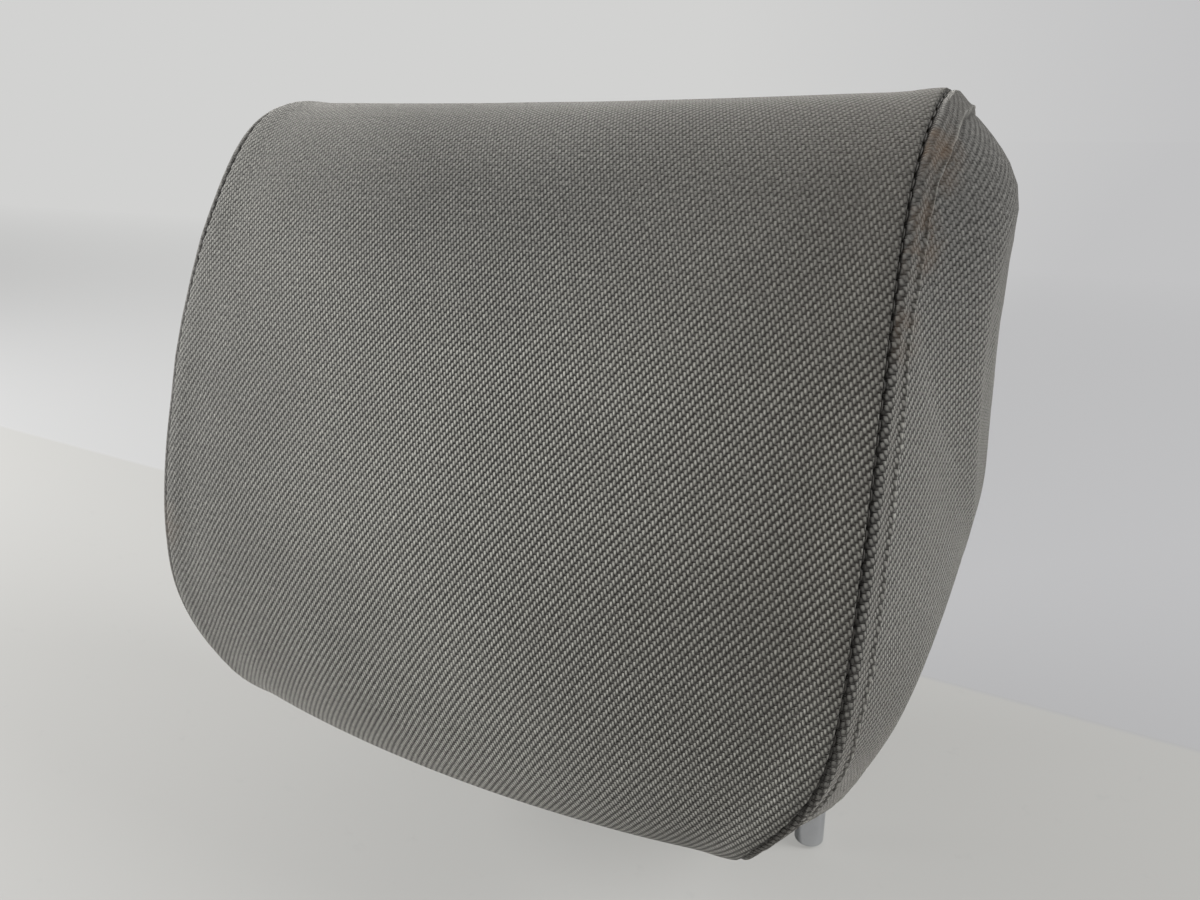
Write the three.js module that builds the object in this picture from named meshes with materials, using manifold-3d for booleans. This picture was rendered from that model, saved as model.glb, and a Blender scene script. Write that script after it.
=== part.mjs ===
// A car headrest: a sewn fabric cover over a moulded foam core, carried by one bent chrome frame.
// Millimetres, +X to the right, +Y to the back, +Z up. The origin lies midway between the post feet.
import * as THREE from 'three';
import Module from 'manifold-3d';
import { mergeVertices } from 'three/addons/utils/BufferGeometryUtils.js';

const wasm = await Module();
wasm.setup();

// Driving dimensions of the cushion
const CUSHION_WIDTH = 261;
const CUSHION_HEIGHT = 203;
const CUSHION_DEPTH = 123;
const FRONT_REACH = 84.6;
const FRONT_CROWN = 7.5;
const TOP_CROWN = -1.5;
const REAR_CROWN = 3;
const UNDERSIDE_CROWN = 1;
const GUSSET_TAPER = 24;

// Driving dimensions of the cover and its closure
const FABRIC = 1.8;
const CLEARANCE = 0.3;
const CLOSURE_POST_DISTANCE = 24.5;
const CLOSURE_WALL = 1.2;
const CLOSURE_FLANGE = 9;
const HOOK_DEPTH = 4.4;
const SLIT_AT = -4;
const SLIT_WIDTH = 3;
const GROOVE_ROOM = { ends: 2, sides: 1, top: 3 };

// Driving dimensions of the frame
const POST_DIAMETER = 10;
const POST_SPACING = 181;
const POST_EXPOSED = 45;
const POST_END_CHAMFER = 1.2;
const FOAM_OVER_HOOP = 62;
const HOOP_BEND_RADIUS = 26;
const NOTCH_DEPTH = 2;
const NOTCH_HEIGHT = 3.2;
const NOTCH_HEIGHTS = [14, 29];
const WIRE_DIAMETER = 5;
const WIRE_OVERHANG = 7;
const WIRE_REACH = 26;
const WIRE_BEND_RADIUS = 9;
const WIRE_INNER_REST = 15;
const WIRE_SPACING = 52;
const UPPER_WIRE_BELOW_HOOP = 38;
const WIRE_CHANNEL_GROWTH = 0.6;

// Driving dimensions of the post bezels
const BEZEL_DIAMETER = 25;
const BEZEL_FLANGE = 1.6;
const BEZEL_SLEEVE_WALL = 1.4;
const BEZEL_SLEEVE_LENGTH = 12;
const BEZEL_BORE_CLEARANCE = 0.35;

// The seam loop seen from the side. Each row is a control point of a closed B-spline:
// how far back, how high, how far the seam lies inside the widest point of the cushion,
// and the share of the way to the gusset's middle in which the gusset swells to its full width.
const SEAM_LOOP = [
  [-84, 70, 37, 0.26],
  [-85, 93, 20, 0.42],
  [-80, 123, 18, 0.78],
  [-68, 158, 19, 0.95],
  [-52, 195, 21, 1],
  [-36, 232, 23, 0.52],
  [-11, 252, 21, 0.19],
  [26, 250, 22, 0.3],
  [42, 212, 24, 0.6],
  [38, 160, 24, 0.65],
  [34, 108, 26, 0.6],
  [30, 62, 36, 0.3],
  [8, 46, 50, 0.13],
  [-34, 43, 51, 0.13],
  [-74, 51, 45, 0.15],
];
const UNDERSIDE_ROWS = 3.7;

// The gusset's rings, as shares of the way from its middle out to the seam
const GUSSET_RINGS = [0.94, 0.87, 0.78, 0.65, 0.48, 0.26];
const GUSSET_MIDDLE = { back: -5, up: 122 };

// How finely the surfaces are divided
const LOOP_STEPS = 54;
const PANEL_COLUMNS = 8;
const POST_SIDES = 16;
const WIRE_SIDES = 8;
const BEND_STEPS = 6;
const BEZEL_SEGMENTS = 28;
const FITTING_STEPS = 20;
const HALVINGS = 40;

const fabricFront = material('#77736c', 0.95, 0);
const fabricSide = material('#7b776f', 0.95, 0);
const foamYellow = material('#d9cfa6', 0.9, 0);
const chrome = material('#d4d6d8', 0.12, 1);
const drawnSteel = material('#8b8d8f', 0.4, 0.9);
const blackPlastic = material('#232325', 0.55, 0);

function material(color, roughness, metalness) {
  return new THREE.MeshStandardMaterial({ color, roughness, metalness });
}

function named(name, geometry, look) {
  const mesh = new THREE.Mesh(geometry, look);
  mesh.name = name;
  return mesh;
}

// Booleans work on closed meshes whose corners are shared
function toSolid(geometry) {
  const bare = geometry.clone();
  bare.deleteAttribute('normal');
  bare.deleteAttribute('uv');
  const merged = mergeVertices(bare, 1e-4);
  const vertProperties = new Float32Array(merged.getAttribute('position').array);
  const triVerts = new Uint32Array(merged.getIndex().array);
  return new wasm.Manifold(new wasm.Mesh({ numProp: 3, vertProperties, triVerts }));
}

function toGeometry(solid) {
  const mesh = solid.getMesh();
  const geometry = new THREE.BufferGeometry();
  geometry.setAttribute('position', new THREE.BufferAttribute(mesh.vertProperties, 3));
  geometry.setIndex(new THREE.BufferAttribute(mesh.triVerts, 1));
  geometry.computeVertexNormals();
  return geometry;
}

function cut(geometry, cutters) {
  let solid = toSolid(geometry);
  for (const cutter of cutters) {
    solid = solid.subtract(toSolid(cutter));
  }
  return toGeometry(solid);
}

// Closed uniform cubic B-spline through rows of numbers
function closedSpline(rows, t) {
  const start = Math.floor(t);
  const u = t - start;
  const weights = [
    (1 - u) ** 3,
    3 * u ** 3 - 6 * u ** 2 + 4,
    -3 * u ** 3 + 3 * u ** 2 + 3 * u + 1,
    u ** 3,
  ];
  const at = (k) => rows[(start + k + rows.length) % rows.length];
  return rows[0].map((_, axis) => {
    return weights.reduce((sum, w, k) => sum + (w * at(k - 1)[axis]) / 6, 0);
  });
}

// The loop is stretched so that it has exactly the cushion's depth and height
function loopFitting() {
  const samples = [];
  for (let t = 0; t < SEAM_LOOP.length; t += 1 / FITTING_STEPS) {
    samples.push(closedSpline(SEAM_LOOP, t));
  }
  const backs = samples.map((p) => p[0]);
  const ups = samples.map((p) => p[1]);
  const lowBack = Math.min(...backs);
  const lowUp = Math.min(...ups);
  const depthScale = CUSHION_DEPTH / (Math.max(...backs) - lowBack);
  const heightScale = CUSHION_HEIGHT / (Math.max(...ups) - lowUp);
  return (back, up) => ({
    y: (back - lowBack) * depthScale - FRONT_REACH,
    z: (up - lowUp) * heightScale + POST_EXPOSED,
  });
}

const fitLoop = loopFitting();
const gussetMiddle = fitLoop(GUSSET_MIDDLE.back, GUSSET_MIDDLE.up);

function loopPoint(t) {
  const [back, up, inset, ramp] = closedSpline(SEAM_LOOP, t);
  return { ...fitLoop(back, up), half: CUSHION_WIDTH / 2 - inset, ramp };
}

// The loop's parameter where the underside, which is its last stretch, passes a given y
function undersideParameter(y) {
  let near = SEAM_LOOP.length - UNDERSIDE_ROWS;
  let far = SEAM_LOOP.length - 1;
  for (let step = 0; step < HALVINGS; step += 1) {
    const middle = (near + far) / 2;
    if (loopPoint(middle).y > y) {
      near = middle;
    } else {
      far = middle;
    }
  }
  return near;
}

// The samples run from the front lip of the slit, round the front, top and back, to its rear lip
function seamLoop() {
  const first = undersideParameter(SLIT_AT - SLIT_WIDTH / 2);
  const last = undersideParameter(SLIT_AT + SLIT_WIDTH / 2) + SEAM_LOOP.length;
  const points = [];
  for (let i = 0; i < LOOP_STEPS; i += 1) {
    points.push(loopPoint(first + ((last - first) * i) / (LOOP_STEPS - 1)));
  }
  return points.map((point, i) => {
    const before = points[(i + LOOP_STEPS - 1) % LOOP_STEPS];
    const after = points[(i + 1) % LOOP_STEPS];
    const outward = new THREE.Vector2(-(after.z - before.z), after.y - before.y).normalize();
    return { ...point, outward, ...facing(point) };
  });
}

// How much a loop point belongs to the front, top, rear and underside; the shares add up to one
function facing(point) {
  const back = (point.y - gussetMiddle.y) / (CUSHION_DEPTH / 2);
  const up = (point.z - gussetMiddle.z) / (CUSHION_HEIGHT / 2);
  const size = Math.hypot(back, up);
  const square = (value) => (Math.max(value, 0) / size) ** 2;
  return { front: square(-back), rear: square(back), top: square(up), underside: square(-up) };
}

// The gusset stands out less towards the underside
function gussetReach(z) {
  const lift = THREE.MathUtils.smoothstep(z, POST_EXPOSED, POST_EXPOSED + CUSHION_HEIGHT / 2);
  return CUSHION_WIDTH / 2 - GUSSET_TAPER * (1 - lift);
}

function panelPoint(point, across) {
  const crown =
    point.front * FRONT_CROWN +
    point.top * TOP_CROWN +
    point.rear * REAR_CROWN +
    point.underside * UNDERSIDE_CROWN;
  const rise = crown * (1 - across * across);
  return new THREE.Vector3(
    point.half * across,
    point.y + point.outward.x * rise,
    point.z + point.outward.y * rise,
  );
}

function gussetPoint(point, side, ring) {
  const y = gussetMiddle.y + (point.y - gussetMiddle.y) * ring;
  const z = gussetMiddle.z + (point.z - gussetMiddle.z) * ring;
  const swell = Math.sin((Math.min((1 - ring) / point.ramp, 1) * Math.PI) / 2);
  const x = THREE.MathUtils.lerp(point.half, gussetReach(z), swell);
  return new THREE.Vector3(side * x, y, z);
}

// One column of the skin for each place from the left gusset's middle to the right one's
function skinColumns() {
  const columns = [...GUSSET_RINGS].reverse().map((ring) => ({ side: -1, ring }));
  for (let k = 0; k <= PANEL_COLUMNS; k += 1) {
    columns.push({ across: (2 * k) / PANEL_COLUMNS - 1 });
  }
  return columns.concat(GUSSET_RINGS.map((ring) => ({ side: 1, ring })));
}

const loop = seamLoop();
const columns = skinColumns();
const leftSeam = GUSSET_RINGS.length;
const rightSeam = leftSeam + PANEL_COLUMNS;
const skin = columns.map((column) => {
  return loop.map((point) => {
    return 'across' in column
      ? panelPoint(point, column.across)
      : gussetPoint(point, column.side, column.ring);
  });
});
const poles = [-1, 1].map((side) => {
  return new THREE.Vector3(side * gussetReach(gussetMiddle.z), gussetMiddle.y, gussetMiddle.z);
});

// Triangles between two rings of point numbers; closed joins the last point to the first
function bridge(triangles, a, b, closed) {
  const last = closed ? a.length : a.length - 1;
  for (let i = 0; i < last; i += 1) {
    const j = (i + 1) % a.length;
    triangles.push([a[i], b[i], b[j]], [a[i], b[j], a[j]]);
  }
}

function turnedOver(triangles) {
  return triangles.map(([a, b, c]) => [a, c, b]);
}

function fan(triangles, ring, pole) {
  ring.forEach((corner, i) => {
    triangles.push([corner, pole, ring[(i + 1) % ring.length]]);
  });
}

function geometryOf(points, triangles) {
  const geometry = new THREE.BufferGeometry();
  geometry.setAttribute(
    'position',
    new THREE.Float32BufferAttribute(points.flatMap((p) => [p.x, p.y, p.z]), 3),
  );
  geometry.setIndex(triangles.flat());
  geometry.computeVertexNormals();
  return geometry;
}

const ringNumbers = (offset, column) => loop.map((_, i) => offset + column * LOOP_STEPS + i);

const leftPole = columns.length * LOOP_STEPS;

// The whole closed skin, which gives the foam its shape and every layer its inward direction
function closedSkin(points) {
  const triangles = [];
  for (let c = 0; c < columns.length - 1; c += 1) {
    bridge(triangles, ringNumbers(0, c), ringNumbers(0, c + 1), true);
  }
  fan(triangles, [...ringNumbers(0, 0)].reverse(), leftPole);
  fan(triangles, ringNumbers(0, columns.length - 1), leftPole + 1);
  return geometryOf(points, triangles);
}

const skinPoints = [...skin.flat(), ...poles];
const normals = closedSkin(skinPoints).getAttribute('normal');

function inset(number, depth) {
  const normal = new THREE.Vector3().fromBufferAttribute(normals, number);
  return skinPoints[number].clone().addScaledVector(normal, -depth);
}

// A piece of the cover between two columns of the skin, with an outer and an inner face.
// At a seam it stops half a clearance short of the seam line; elsewhere it closes at its pole.
function coverPiece(from, to, closed, pole) {
  const fromSeam = from === leftSeam || from === rightSeam;
  const toSeam = to === leftSeam || to === rightSeam;
  const points = [];
  for (const depth of [0, FABRIC]) {
    for (let c = from; c <= to; c += 1) {
      const atStart = c === from && fromSeam;
      const atEnd = c === to && toSeam;
      const sideways = ((atStart - atEnd) * CLEARANCE) / 2;
      const column = ringNumbers(0, c).map((number) => inset(number, depth));
      column.forEach((point) => point.setX(point.x + sideways));
      points.push(...column);
    }
    if (pole !== undefined) {
      points.push(inset(pole, depth));
    }
  }
  const layerSize = points.length / 2;
  const outer = (c) => ringNumbers(0, c - from);
  const inner = (c) => ringNumbers(layerSize, c - from);
  const face = [];
  for (let c = from; c < to; c += 1) {
    bridge(face, outer(c), outer(c + 1), closed);
  }
  if (pole !== undefined) {
    fan(face, toSeam ? outer(from).reverse() : outer(to), layerSize - 1);
  }
  const back = turnedOver(face).map((triangle) => triangle.map((corner) => corner + layerSize));
  const rims = [];
  if (fromSeam) {
    bridge(rims, inner(from), outer(from), closed);
  }
  if (toSeam) {
    bridge(rims, outer(to), inner(to), closed);
  }
  if (!closed) {
    const row = (layer, i) => Array.from({ length: to - from + 1 }, (_, k) => layer(from + k)[i]);
    bridge(rims, row(outer, 0), row(inner, 0), false);
    bridge(rims, row(inner, LOOP_STEPS - 1), row(outer, LOOP_STEPS - 1), false);
  }
  return geometryOf(points, [...face, ...back, ...rims]);
}

function centrePanel() {
  return coverPiece(leftSeam, rightSeam, false);
}

function gusset(side) {
  return side < 0
    ? coverPiece(0, leftSeam, true, leftPole)
    : coverPiece(rightSeam, columns.length - 1, true, leftPole + 1);
}

// A round bar along a path in one plane, with flat ends
function bar(path, diameter, sides, endChamfer = 0) {
  const points = [];
  const up = path.plane;
  const stops = path.points.map((point, i) => ({ point, radius: diameter / 2, i }));
  if (endChamfer > 0) {
    const last = stops.length - 1;
    const first = { ...stops[0], radius: diameter / 2 - endChamfer };
    const end = { ...stops[last], radius: diameter / 2 - endChamfer };
    stops[0] = { ...stops[0], point: along(path.points[0], path.points[1], endChamfer) };
    stops[last] = {
      ...stops[last],
      point: along(path.points[last], path.points[last - 1], endChamfer),
    };
    stops.unshift(first);
    stops.push(end);
  }
  for (const stop of stops) {
    const before = path.points[Math.max(stop.i - 1, 0)];
    const after = path.points[Math.min(stop.i + 1, path.points.length - 1)];
    const ahead = after.clone().sub(before).normalize();
    const across = new THREE.Vector3().crossVectors(up, ahead).normalize();
    for (let k = 0; k < sides; k += 1) {
      const angle = (2 * Math.PI * (k + 0.5)) / sides;
      points.push(
        stop.point
          .clone()
          .addScaledVector(across, stop.radius * Math.cos(angle))
          .addScaledVector(up, stop.radius * Math.sin(angle)),
      );
    }
  }
  const ring = (n) => Array.from({ length: sides }, (_, k) => n * sides + k);
  const triangles = [];
  for (let n = 0; n < stops.length - 1; n += 1) {
    bridge(triangles, ring(n + 1), ring(n), true);
  }
  points.push(stops[0].point, stops[stops.length - 1].point);
  fan(triangles, ring(0), points.length - 2);
  fan(triangles, ring(stops.length - 1).reverse(), points.length - 1);
  return geometryOf(points, triangles);
}

function along(from, to, distance) {
  return from.clone().addScaledVector(to.clone().sub(from).normalize(), distance);
}

// A polyline whose inner corners are rounded with one bend radius
function roundedPath(corners, radius, plane) {
  const points = [corners[0]];
  for (let i = 1; i < corners.length - 1; i += 1) {
    const into = corners[i].clone().sub(corners[i - 1]).normalize();
    const out = corners[i + 1].clone().sub(corners[i]).normalize();
    const turn = into.angleTo(out);
    const reach = radius * Math.tan(turn / 2);
    const start = corners[i].clone().addScaledVector(into, -reach);
    const inward = out.clone().addScaledVector(into, -out.dot(into)).normalize();
    const centre = start.clone().addScaledVector(inward, radius);
    for (let step = 0; step <= BEND_STEPS; step += 1) {
      const angle = (turn * step) / BEND_STEPS;
      points.push(
        centre
          .clone()
          .addScaledVector(inward, -radius * Math.cos(angle))
          .addScaledVector(into, radius * Math.sin(angle)),
      );
    }
  }
  points.push(corners[corners.length - 1]);
  return { points, plane };
}

const postX = POST_SPACING / 2;
const hoopHeight = POST_EXPOSED + CUSHION_HEIGHT - FOAM_OVER_HOOP;
const upperWireHeight = hoopHeight - UPPER_WIRE_BELOW_HOOP;
const lowerWireHeight = upperWireHeight - WIRE_SPACING;

function hoopPath() {
  const corners = [
    new THREE.Vector3(-postX, 0, 0),
    new THREE.Vector3(-postX, 0, hoopHeight),
    new THREE.Vector3(postX, 0, hoopHeight),
    new THREE.Vector3(postX, 0, 0),
  ];
  return roundedPath(corners, HOOP_BEND_RADIUS, new THREE.Vector3(0, 1, 0));
}

// A latch notch has a flat upper shoulder and a ramp below it, cut in the left post's inner side
function notchCutter(height) {
  const surface = POST_DIAMETER / 2;
  const outside = surface + 1;
  const shape = new THREE.Shape();
  shape.moveTo(surface - NOTCH_DEPTH, height + NOTCH_HEIGHT);
  shape.lineTo(outside, height + NOTCH_HEIGHT);
  shape.lineTo(outside, height - NOTCH_DEPTH - 1);
  shape.lineTo(surface - NOTCH_DEPTH, height);
  const depth = POST_DIAMETER + 2;
  const geometry = new THREE.ExtrudeGeometry(shape, { depth, bevelEnabled: false });
  geometry.translate(0, 0, -depth / 2);
  geometry.rotateX(Math.PI / 2);
  geometry.translate(-postX, 0, 0);
  return geometry;
}

function postFrame() {
  const rod = bar(hoopPath(), POST_DIAMETER, POST_SIDES, POST_END_CHAMFER);
  return cut(rod, NOTCH_HEIGHTS.map(notchCutter));
}

// A spring wire laid against the front of both posts, bowed forward between them
function wirePath(height, growth) {
  const y = -(POST_DIAMETER + WIRE_DIAMETER) / 2 - CLEARANCE;
  const end = postX + WIRE_OVERHANG + growth;
  const shoulder = postX - WIRE_INNER_REST;
  const corners = [
    [-end, y],
    [-shoulder, y],
    [-shoulder + WIRE_REACH, y - WIRE_REACH],
    [shoulder - WIRE_REACH, y - WIRE_REACH],
    [shoulder, y],
    [end, y],
  ].map(([x, back]) => new THREE.Vector3(x, back, height));
  return roundedPath(corners, WIRE_BEND_RADIUS, new THREE.Vector3(0, 0, 1));
}

function wire(height, growth = 0) {
  return bar(wirePath(height, growth), WIRE_DIAMETER + 2 * growth, WIRE_SIDES);
}

// The closure's section is measured from the highest skin over its footprint
const flangeSpan = CLOSURE_FLANGE + HOOK_DEPTH;
const closureLength = POST_SPACING - 2 * CLOSURE_POST_DISTANCE;
const closureBase = closureFloor();

function closureFloor() {
  const ends = [SLIT_AT - flangeSpan, SLIT_AT + flangeSpan, SLIT_AT];
  const heights = ends.map((y) => loopPoint(undersideParameter(y)).z);
  return Math.max(...heights) + FABRIC + CLEARANCE;
}

// Two hooked plastic strips that lock into each other, drawn as closed sections (y, z)
function closureStrip(section) {
  const shape = new THREE.Shape(section.map(([y, z]) => new THREE.Vector2(y, z)));
  const geometry = new THREE.ExtrudeGeometry(shape, {
    depth: closureLength,
    bevelEnabled: false,
  });
  geometry.translate(0, 0, -closureLength / 2);
  geometry.rotateX(Math.PI / 2);
  geometry.rotateZ(Math.PI / 2);
  geometry.translate(0, SLIT_AT, closureBase);
  return geometry;
}

const hookLip = CLOSURE_WALL + CLEARANCE;
const lipTop = hookLip + CLOSURE_WALL;

function frontClosureSection() {
  const top = lipTop + CLEARANCE + CLOSURE_WALL;
  const mouth = -HOOK_DEPTH / 2 + CLOSURE_WALL + CLEARANCE;
  return [
    [-flangeSpan, 0],
    [HOOK_DEPTH, 0],
    [HOOK_DEPTH, top],
    [mouth, top],
    [mouth, top - CLOSURE_WALL],
    [HOOK_DEPTH - CLOSURE_WALL, top - CLOSURE_WALL],
    [HOOK_DEPTH - CLOSURE_WALL, CLOSURE_WALL],
    [-flangeSpan, CLOSURE_WALL],
  ];
}

function rearClosureSection() {
  const under = lipTop + 2 * CLEARANCE + CLOSURE_WALL;
  const over = under + CLOSURE_WALL;
  const leg = -HOOK_DEPTH / 2;
  const ramp = HOOK_DEPTH + CLEARANCE;
  return [
    [flangeSpan, 0],
    [flangeSpan, CLOSURE_WALL],
    [ramp + over, CLOSURE_WALL],
    [ramp + CLOSURE_WALL, over],
    [leg, over],
    [leg, hookLip],
    [HOOK_DEPTH - CLOSURE_WALL - CLEARANCE, hookLip],
    [HOOK_DEPTH - CLOSURE_WALL - CLEARANCE, lipTop],
    [leg + CLOSURE_WALL, lipTop],
    [leg + CLOSURE_WALL, under],
    [ramp, under],
    [ramp + under, 0],
  ];
}

// The foam is open under the closure, so its groove runs down to below the cushion
function closureGroove() {
  const high = closureBase + lipTop + 2 * (CLEARANCE + CLOSURE_WALL) + GROOVE_ROOM.top;
  const groove = new THREE.BoxGeometry(
    closureLength + 2 * GROOVE_ROOM.ends,
    2 * (flangeSpan + GROOVE_ROOM.sides),
    high,
  );
  groove.translate(0, SLIT_AT, high / 2);
  return groove;
}

// The height of the underside's skin over a place on the ground
const skinMesh = new THREE.Mesh(closedSkin(skinPoints), fabricSide.clone());
skinMesh.material.side = THREE.DoubleSide;

function undersideAt(x, y) {
  const ray = new THREE.Raycaster(new THREE.Vector3(x, y, 0), new THREE.Vector3(0, 0, 1));
  return ray.intersectObject(skinMesh)[0].point.z;
}

// A turned profile round a post's axis, from rows of (radius, height)
function turned(profile, side, segments = BEZEL_SEGMENTS) {
  const rows = profile.map(([radius, height]) => new THREE.Vector2(radius, height));
  const geometry = new THREE.LatheGeometry(rows, segments);
  geometry.rotateX(Math.PI / 2);
  geometry.translate(side * postX, 0, 0);
  return geometry;
}

function cylinder(radius, low, high, side) {
  return turned([[0, low], [radius, low], [radius, high], [0, high], [0, low]], side);
}

const bezelBore = POST_DIAMETER / 2 + BEZEL_BORE_CLEARANCE;
const sleeveRadius = bezelBore + BEZEL_SLEEVE_WALL;
const bezelTop = lowestFabric() - CLEARANCE;

// The bezels' flanges lie under the lowest fabric that they cover
function lowestFabric() {
  const reach = BEZEL_DIAMETER / 2;
  let low = Infinity;
  for (const side of [-1, 1]) {
    for (let k = 0; k < BEZEL_SEGMENTS; k += 1) {
      const angle = (2 * Math.PI * k) / BEZEL_SEGMENTS;
      const x = side * postX + reach * Math.cos(angle);
      low = Math.min(low, undersideAt(x, reach * Math.sin(angle)));
    }
  }
  return low;
}

const cushionWithRoom = toSolid(
  closedSkin(skinPoints.map((_, number) => inset(number, -CLEARANCE))),
);

// A moulded collar whose upper face follows the cushion, with a sleeve that reaches into the foam
function bezel(side) {
  const low = bezelTop - BEZEL_FLANGE;
  const high = bezelTop + BEZEL_SLEEVE_LENGTH;
  const rim = BEZEL_DIAMETER / 2;
  const profile = [
    [bezelBore, low],
    [rim - BEZEL_FLANGE, low],
    [rim, low + BEZEL_FLANGE],
    [rim, high],
    [bezelBore, high],
    [bezelBore, low],
  ];
  const sleeve = [
    [bezelBore, low + BEZEL_FLANGE / 2],
    [sleeveRadius, low + BEZEL_FLANGE / 2],
    [sleeveRadius, high],
    [bezelBore, high],
    [bezelBore, low + BEZEL_FLANGE / 2],
  ];
  const collar = toSolid(turned(profile, side)).subtract(cushionWithRoom);
  return toGeometry(collar.add(toSolid(turned(sleeve, side))));
}

function sleeveHoles(high) {
  return [-1, 1].map((side) => cylinder(sleeveRadius + CLEARANCE, 0, high, side));
}

// The cover's underside is pierced for the two sleeves, wherever the seams run
const pierced = (geometry) => cut(geometry, sleeveHoles(POST_EXPOSED + CUSHION_HEIGHT / 3));

// The foam is moulded round the frame, so its channels are the frame grown by the clearance
function foamCore() {
  const points = skinPoints.map((_, number) => inset(number, FABRIC + CLEARANCE));
  const frameSpace = bar(hoopPath(), POST_DIAMETER + 2 * CLEARANCE, POST_SIDES);
  const cutters = [
    frameSpace,
    wire(lowerWireHeight, WIRE_CHANNEL_GROWTH),
    wire(upperWireHeight, WIRE_CHANNEL_GROWTH),
    closureGroove(),
    ...sleeveHoles(bezelTop + BEZEL_SLEEVE_LENGTH + CLEARANCE),
  ];
  return cut(closedSkin(points), cutters);
}

const headrest = new THREE.Group();
headrest.add(
  named('post_frame', postFrame(), chrome),
  named('lower_stiffener_wire', wire(lowerWireHeight), drawnSteel),
  named('upper_stiffener_wire', wire(upperWireHeight), drawnSteel),
  named('foam_core', foamCore(), foamYellow),
  named('centre_panel', pierced(centrePanel()), fabricFront),
  named('gusset_left', pierced(gusset(-1)), fabricSide),
  named('gusset_right', pierced(gusset(1)), fabricSide),
  named('closure_strip_front', closureStrip(frontClosureSection()), blackPlastic),
  named('closure_strip_rear', closureStrip(rearClosureSection()), blackPlastic),
  named('post_bezel_left', bezel(-1), blackPlastic),
  named('post_bezel_right', bezel(1), blackPlastic),
);

export default headrest;
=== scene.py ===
import math
from functools import partial, partialmethod

import bpy
import numpy as np
from mathutils import Matrix, Vector


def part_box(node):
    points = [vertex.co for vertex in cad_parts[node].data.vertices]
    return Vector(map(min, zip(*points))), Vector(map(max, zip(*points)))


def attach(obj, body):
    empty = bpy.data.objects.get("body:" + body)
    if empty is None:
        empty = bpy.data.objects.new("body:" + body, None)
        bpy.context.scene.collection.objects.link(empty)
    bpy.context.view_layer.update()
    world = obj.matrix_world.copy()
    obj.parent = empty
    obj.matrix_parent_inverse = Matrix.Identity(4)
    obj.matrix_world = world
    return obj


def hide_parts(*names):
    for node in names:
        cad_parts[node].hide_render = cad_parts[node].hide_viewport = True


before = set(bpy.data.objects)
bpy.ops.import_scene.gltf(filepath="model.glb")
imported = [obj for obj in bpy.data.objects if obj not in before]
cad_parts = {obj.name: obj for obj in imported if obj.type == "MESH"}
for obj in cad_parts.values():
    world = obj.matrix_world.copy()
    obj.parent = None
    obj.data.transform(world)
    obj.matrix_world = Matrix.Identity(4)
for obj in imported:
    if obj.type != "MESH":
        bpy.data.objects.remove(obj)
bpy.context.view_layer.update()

# Everything is worked out in millimetres and turned into metres when a mesh is made.
MM = 0.001
SIDES = {-1: "left", 1: "right"}
# Each seam's dents come from its own random numbers
DENT_SEEDS = {-1: 11, 1: 12}

# Cushion, as the CAD source has it
WIDTH = 261
HEIGHT = 203
DEPTH = 123
FRONT_REACH = 84.6
POST_EXPOSED = 45
GUSSET_TAPER = 24
# How far the panel bulges at the front, the top, the back and the underside
CROWNS = np.array([7.5, -1.5, 3, 1])
GUSSET_MIDDLE = (-5, 122)
FABRIC = 1.8
CLEARANCE = 0.3
SLIT_AT = -4
SLIT_WIDTH = 3
# The seam in 15 rows: how far back and how high it lies, how far inside the widest point, and
# over what share of the way to the gusset's middle the gusset swells. Some of these shares
# differ from the CAD's, to follow the photo.
SEAM_LOOP = np.array([
    [-84, 70, 37, 0.4], [-85, 93, 20, 0.42], [-80, 123, 18, 0.78], [-68, 158, 19, 0.95],
    [-52, 195, 21, 1], [-36, 232, 23, 0.52], [-11, 252, 21, 0.18], [26, 250, 22, 0.28],
    [42, 212, 24, 0.6], [38, 160, 24, 0.65], [34, 108, 26, 0.6], [30, 62, 36, 0.3],
    [8, 46, 50, 0.13], [-34, 43, 51, 0.13], [-74, 51, 45, 0.3],
])

# Frame, wires and bezels, as the CAD source has them
POST_DIAMETER = 10
POST_X = 90.5
HOOP_HEIGHT = 186
HOOP_BEND = 26
POST_CHAMFER = 1.2
NOTCH_DEPTH = 2
NOTCH_HEIGHT = 3.2
NOTCH_HEIGHTS = (14, 29)
WIRE_DIAMETER = 5
WIRE_HEIGHTS = {"lower": 96, "upper": 148}
WIRE_OVERHANG = 7
WIRE_REST = 15
WIRE_REACH = 26
WIRE_BEND = 9
BEZEL_DIAMETER = 25
BEZEL_FLANGE = 1.6
BEZEL_WALL = 1.4
BEZEL_BORE = POST_DIAMETER / 2 + 0.35
BEZEL_CHAMFER = 0.4
WIRE_CHAMFER = 0.5
# How far inside the cloth the foam lies
FOAM_GAP = 0.5
# How finely the foam is divided round the loop
SKIN_STEPS = 200
# The channel for a wire is wider and longer than the wire by this on each side
WIRE_CHANNEL = 0.6
# The cover is open round each post, under the bezel: how far out, and below what height
POST_OPENING = 9
OPENING_TOP = 100

# How finely the cover is divided, and its seam
LOOP_STEPS = 480
PANEL_EDGE = [0, 0.15, 0.4, 0.75, 1.2, 1.8, 2.6, 3.6, 5, 7, 9.5, 12.5, 16]
PANEL_MIDDLE = 22
GUSSET_EDGE = [
    0, 0.15, 0.4, 0.8, 1.3, 2, 3, 4, 5, 5.7, 6.2, 6.6, 6.9, 7.15, 7.4, 7.65, 7.9, 8.2, 8.6, 9.1,
    9.8, 11, 13, 16, 20, 24,
]
GUSSET_MIDDLE_STEPS = 18
SEAM_ROLL = 1.1
STRIP_ROLL = 1.5
LIP_ROLL = 1.2
STRIP_EDGE = 7.3
STRIP_RISE = 1.35
STITCH_PITCH = 4.3
STITCH_RADIUS = 0.27
# The gusset's grain leans back with the front seam
GRAIN_LEAN = math.radians(19)
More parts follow.
